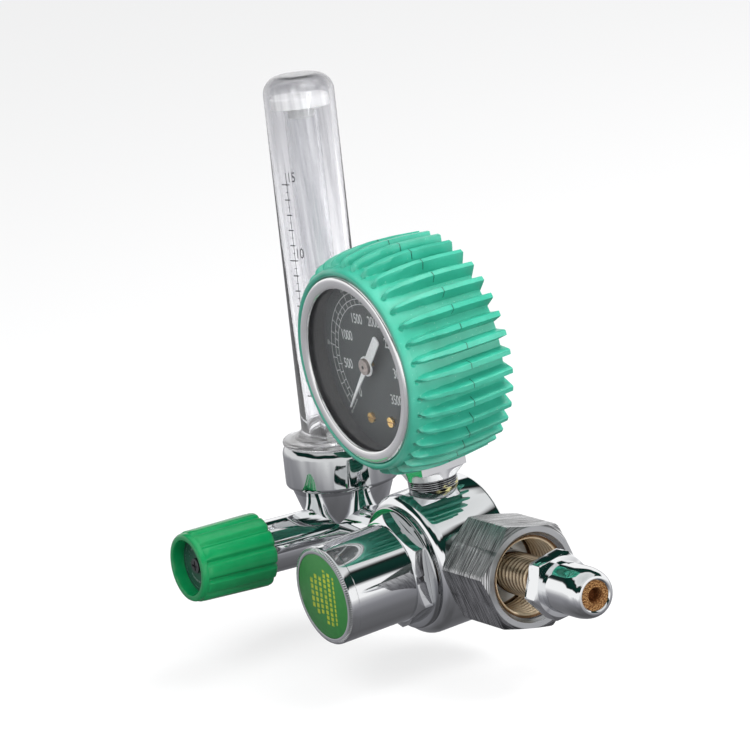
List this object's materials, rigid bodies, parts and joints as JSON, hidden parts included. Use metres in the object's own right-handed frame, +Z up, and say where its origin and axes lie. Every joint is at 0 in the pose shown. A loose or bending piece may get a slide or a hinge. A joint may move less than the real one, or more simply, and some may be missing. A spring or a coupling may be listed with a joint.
{
  "type": "oxygen regulator",
  "caption": "Chrome oxygen regulator with a rubber-booted content gauge, a piston pressure reducer in a hexagonal bonnet, a nut-and-nipple inlet and a float flowmeter with a control knob.",
  "frame": {"origin": "middle of the straight nose of the inlet nipple, on its axis", "axes": "+X along the inlet nipple, out towards the cylinder valve; +Z up, towards the gauge and the flow tube; the bonnet and the flow knob face -Y"},
  "size_m": [0.144, 0.0761, 0.1664],
  "materials": {
    "chrome_brass": "polished chrome on brass",
    "dark_ring": "dark satin ring",
    "label": "green printed disc",
    "brass": "turned brass",
    "steel": "bright steel",
    "nut_steel": "brushed nickel with scratches",
    "bronze": "porous sintered bronze",
    "black_rubber": "soft black rubber",
    "boot_rubber": "green moulded rubber",
    "seat_plastic": "hard white plastic",
    "white_plastic": "white plastic",
    "clear_plastic": "clear plastic",
    "lens": "clear window",
    "dial": "dark grey dial, white print",
    "pointer_white": "white enamel",
    "knob_green": "green moulded plastic",
    "knob_disc": "dark printed disc",
    "float": "black ball"
  },
  "bodies": {
    "regulator": {"body_drum": "chrome_brass", "lock_ring": "dark_ring", "bonnet": "chrome_brass", "bonnet_end_cap": "chrome_brass", "label_disc": "label", "stem_ring": "black_rubber", "seat_nozzle": "brass", "main_spring": "steel", "inlet_nipple": "chrome_brass", "sintered_filter": "bronze", "gauge_socket": "chrome_brass", "gauge_case": "steel", "gauge_bezel": "chrome_brass", "gauge_lens": "lens", "gauge_dial": "dial", "dial_screws": "brass", "gauge_boot": "boot_rubber", "movement_front_plate": "brass", "movement_rear_plate": "brass", "movement_pillars": "brass", "bourdon_tube": "brass", "bourdon_tip": "brass", "tip_link": "brass", "hairspring": "brass", "flow_body": "chrome_brass", "cover_tube": "clear_plastic", "cover_ring": "black_rubber", "metering_tube": "clear_plastic", "tube_ring": "black_rubber", "float_stop": "white_plastic", "top_plug": "white_plastic", "outlet_fitting": "chrome_brass", "gland_nut": "chrome_brass"},
    "piston": {"piston": "brass", "seat_disc": "seat_plastic", "piston_ring": "black_rubber"},
    "nut_ring": {"nut_slip_ring": "seat_plastic"},
    "nut": {"inlet_nut": "nut_steel"},
    "packing": {"spindle_ring": "black_rubber"},
    "knob": {"flow_knob": "knob_green", "valve_spindle": "brass", "knob_disc": "knob_disc", "knob_screw": "steel"},
    "pointer": {"gauge_pointer": "pointer_white", "pointer_arbor": "steel"},
    "sector": {"sector_gear": "brass"},
    "float": {"float_ball": "float"}
  },
  "joints": [
    {"name": "nut_slide", "type": "slide", "parent": "regulator", "child": "nut_ring", "axis": [1, 0, 0], "range_m": [0, 0.0268]},
    {"name": "nut_spin", "type": "hinge", "parent": "nut_ring", "child": "nut", "pos_m": [-0.0302, 0, 0], "axis": [1, 0, 0], "continuous": true},
    {"name": "knob_slide", "type": "slide", "parent": "regulator", "child": "packing", "axis": [0, -0.997, 0.0776], "range_m": [0, 0.0025]},
    {"name": "knob_turn", "type": "hinge", "parent": "packing", "child": "knob", "pos_m": [-0.1163, -0.02997, 0.00153], "axis": [0, -0.997, 0.0776], "range_deg": [0, 900.1]},
    {"name": "pointer_turn", "type": "hinge", "parent": "regulator", "child": "pointer", "pos_m": [-0.0632, -0.0153, 0.0596], "axis": [0, 1, 0], "range_deg": [0, 270], "stiffness_Nm_per_rad": 0.00002, "springref_deg": -28.65},
    {"name": "sector_turn", "type": "hinge", "parent": "regulator", "child": "sector", "pos_m": [-0.0632, -0.0067, 0.04752], "axis": [0, 1, 0], "range_deg": [-38.6, 0]},
    {"name": "float_rise", "type": "slide", "parent": "regulator", "child": "float", "axis": [0, 0.0776, 0.997], "range_m": [0, 0.0889]},
    {"name": "piston_travel", "type": "slide", "parent": "regulator", "child": "piston", "axis": [0, 1, 0], "range_m": [0, 0.001], "stiffness_N_per_m": 2000, "springref_m": -0.005, "deforming": ["main_spring"]}
  ],
  "couplings": [
    {"joint": "knob_turn", "follows": "knob_slide", "rad_per_m": 6283.2},
    {"joint": "sector_turn", "follows": "pointer_turn", "ratio": -0.14286}
  ]
}
